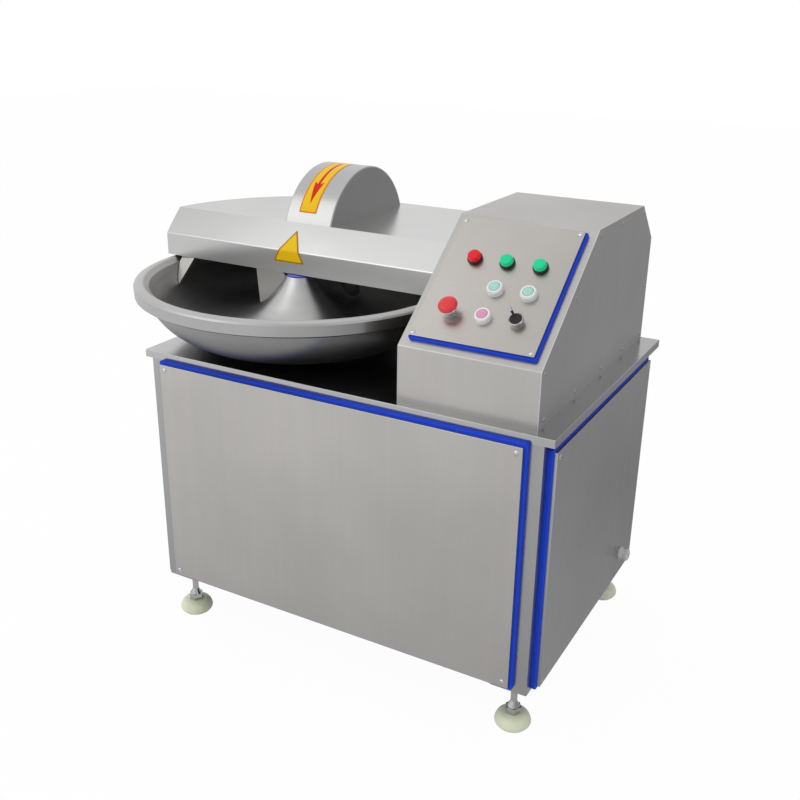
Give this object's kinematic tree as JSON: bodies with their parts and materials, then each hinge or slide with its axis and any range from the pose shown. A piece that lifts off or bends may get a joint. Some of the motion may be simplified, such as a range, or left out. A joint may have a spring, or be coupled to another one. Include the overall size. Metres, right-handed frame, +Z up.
{
  "type": "meat bowl cutter",
  "caption": "Floor-standing bowl cutter: rotating stainless bowl, curved knives under a hinged hood, cabinet with motors, and a sloped control console.",
  "frame": {"origin": "on the floor, under the middle of the worktop", "axes": "+X to the operator's right, +Y to the back, +Z up; the bowl and the slope of the console face -Y"},
  "size_m": [1.156, 0.8072, 1.0805],
  "materials": {
    "sheet_steel": "brushed stainless sheet, vertical grain",
    "frame_steel": "satin stainless angle",
    "worktop_steel": "polished stainless sheet",
    "bowl_steel": "turned and polished stainless, concentric lines",
    "knife_steel": "ground blade steel",
    "plain_steel": "machined steel",
    "chrome": "polished chrome",
    "blue_seal": "smooth royal blue silicone",
    "black_rubber": "matt black rubber",
    "foot_plastic": "pale cream-green plastic",
    "cap_blue": "glossy blue plastic",
    "cast_housing": "machined grey iron",
    "motor_paint": "blue-grey paint",
    "lamp_black": "black plastic",
    "red_lens": "red lens",
    "green_lens": "green lens",
    "bezel_white": "white ring",
    "mint_cap": "pale green cap",
    "pink_cap": "pink cap",
    "estop_red": "red mushroom head",
    "selector_black": "black knob",
    "gland_grey": "light grey nylon"
  },
  "bodies": {
    "cabinet": {"corner_posts": "frame_steel", "frame_rails": "frame_steel", "foot_plates": "frame_steel", "foot_pads": "foot_plastic", "foot_stems": "chrome", "foot_locknuts": "chrome", "front_panel": "sheet_steel", "left_panel": "sheet_steel", "back_panel": "sheet_steel", "right_panel": "sheet_steel", "panel_seals": "blue_seal", "panel_screws": "chrome", "cable_gland": "gland_grey", "worktop": "worktop_steel", "machine_plate": "plain_steel", "bowl_bearing_housing": "cast_housing", "bearing_outer_rings": "chrome", "bowl_gearbox": "motor_paint", "bowl_motor": "motor_paint", "bearing_housing": "cast_housing", "shaft_seal": "black_rubber", "v_belts": "black_rubber", "knife_motor": "motor_paint", "motor_base": "plain_steel", "hinge_brackets": "frame_steel", "hinge_pins": "chrome", "hood_rest_ring": "black_rubber", "console_body": "sheet_steel", "console_side_cover": "sheet_steel", "console_screws": "chrome", "control_plate": "sheet_steel", "control_plate_seal": "blue_seal", "lamp_bases": "lamp_black", "red_lamp": "red_lens", "green_lamps": "green_lens", "button_bezels": "bezel_white", "switch_bases": "chrome"},
    "bowl": {"bowl": "bowl_steel", "bowl_spindle": "plain_steel", "bowl_cap": "cap_blue", "bowl_bearing_inner_rings": "chrome"},
    "knife_rotor": {"knife_shaft": "plain_steel", "knife_hub": "plain_steel", "knife_spacers": "plain_steel", "knives": "knife_steel", "knife_nut": "chrome", "knife_pulley": "cast_housing", "knife_bearing_inner_rings": "chrome"},
    "motor_rotor": {"motor_shaft": "plain_steel", "motor_pulley": "cast_housing"},
    "lid": {"hood": "sheet_steel", "knife_guard": "sheet_steel", "hinge_ears": "frame_steel", "inner_scraper": "sheet_steel", "outer_scraper": "sheet_steel"},
    "left_button": {"left_start_button": "mint_cap"},
    "right_button": {"right_start_button": "mint_cap"},
    "stop_button": {"stop_button": "pink_cap"},
    "estop": {"estop_head": "estop_red"},
    "selector": {"selector_knob": "selector_black"}
  },
  "joints": [
    {"name": "bowl_spin", "type": "hinge", "parent": "cabinet", "child": "bowl", "pos_m": [-0.25, -0.08, 0.7], "axis": [0, 0, 1], "continuous": true},
    {"name": "knife_spin", "type": "hinge", "parent": "cabinet", "child": "knife_rotor", "pos_m": [0, 0.1215, 0.905], "axis": [1, 0, 0], "continuous": true},
    {"name": "motor_spin", "type": "hinge", "parent": "cabinet", "child": "motor_rotor", "pos_m": [0.34, 0.1215, 0.356], "axis": [1, 0, 0], "continuous": true},
    {"name": "lid_hinge", "type": "hinge", "parent": "cabinet", "child": "lid", "pos_m": [-0.05, 0.321, 0.865], "axis": [-1, 0, 0], "range_deg": [0, 85]},
    {"name": "left_button_push", "type": "slide", "parent": "cabinet", "child": "left_button", "axis": [0, 0.6229, -0.7823], "range_m": [0, 0.003], "stiffness_N_per_m": 500, "springref_m": -0.003},
    {"name": "right_button_push", "type": "slide", "parent": "cabinet", "child": "right_button", "axis": [0, 0.6229, -0.7823], "range_m": [0, 0.003], "stiffness_N_per_m": 500, "springref_m": -0.003},
    {"name": "stop_button_push", "type": "slide", "parent": "cabinet", "child": "stop_button", "axis": [0, 0.6229, -0.7823], "range_m": [0, 0.003], "stiffness_N_per_m": 500, "springref_m": -0.003},
    {"name": "estop_push", "type": "slide", "parent": "cabinet", "child": "estop", "axis": [0, 0.6229, -0.7823], "range_m": [0, 0.004]},
    {"name": "selector_turn", "type": "hinge", "parent": "cabinet", "child": "selector", "pos_m": [0.373, -0.25607, 0.88145], "axis": [0, -0.6229, 0.7823], "range_deg": [-90, 0]}
  ],
  "couplings": [
    {"joint": "motor_spin", "follows": "knife_spin", "ratio": 0.66667}
  ]
}
